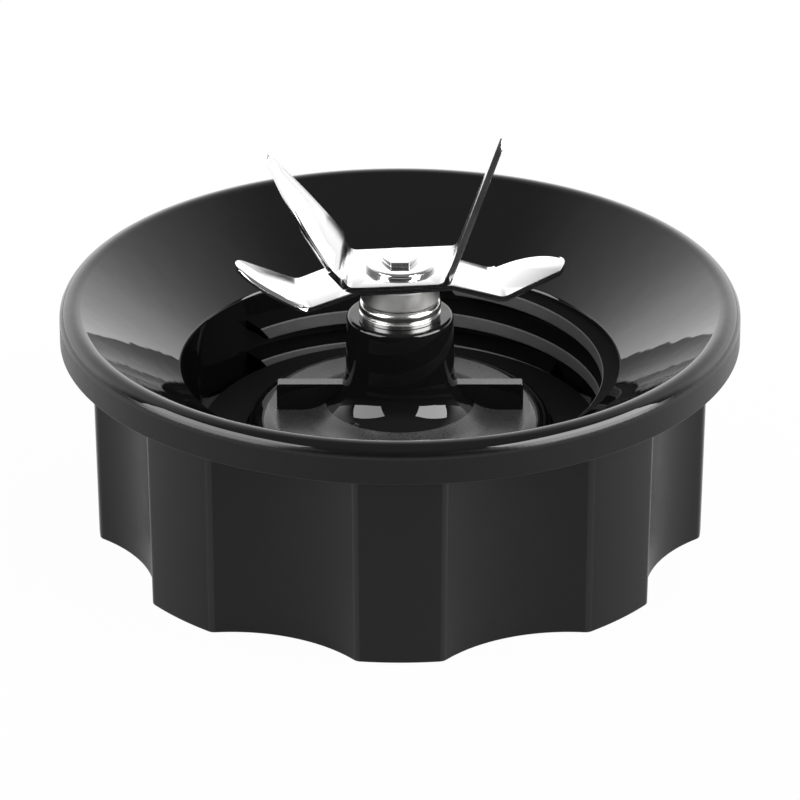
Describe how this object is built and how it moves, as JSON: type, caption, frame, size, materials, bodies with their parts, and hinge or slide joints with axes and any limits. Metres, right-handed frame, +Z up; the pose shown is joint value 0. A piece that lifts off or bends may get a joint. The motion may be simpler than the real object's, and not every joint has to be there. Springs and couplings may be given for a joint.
{
  "type": "blender blade assembly",
  "caption": "Round blender jar base with a flared dish, a threaded well and a lobed grip skirt, holding a spinning shaft with folded steel blades above and a dog-tooth drive coupling below.",
  "frame": {"origin": "on the spin axis, in the plane that the foot of the skirt stands on", "axes": "+Z up along the spin axis; -Y to the front, where a skirt lobe is in the middle; +X to the right"},
  "size_m": [0.12, 0.12, 0.0753],
  "materials": {
    "base_plastic": "moulded black plastic, glossy dish and well, satin skirt",
    "gasket_rubber": "matte black",
    "sleeve_steel": "turned and polished",
    "bushing_bronze": "sintered, dull",
    "seal_rubber": "matte black",
    "shaft_steel": "turned",
    "spacer_steel": "turned, satin",
    "blade_steel": "polished stainless sheet with ground edges",
    "washer_steel": "pressed",
    "ring_steel": "spring steel, dark",
    "coupling_plastic": "moulded black",
    "insert_brass": "machined"
  },
  "bodies": {
    "base": {"jar_base": "base_plastic", "jar_gasket": "gasket_rubber", "bearing_sleeve": "sleeve_steel", "upper_bushing": "bushing_bronze", "lower_bushing": "bushing_bronze", "shaft_seal": "seal_rubber"},
    "rotor": {"drive_shaft": "shaft_steel", "blade_spacer": "spacer_steel", "lower_blade": "blade_steel", "upper_blade": "blade_steel", "top_washer": "washer_steel", "thrust_washer": "washer_steel", "retaining_ring": "ring_steel", "drive_coupling": "coupling_plastic", "coupling_insert": "insert_brass"}
  },
  "joints": [
    {"name": "blade_spin", "type": "hinge", "parent": "base", "child": "rotor", "pos_m": [0, 0, 0.03], "axis": [0, 0, 1], "continuous": true}
  ]
}
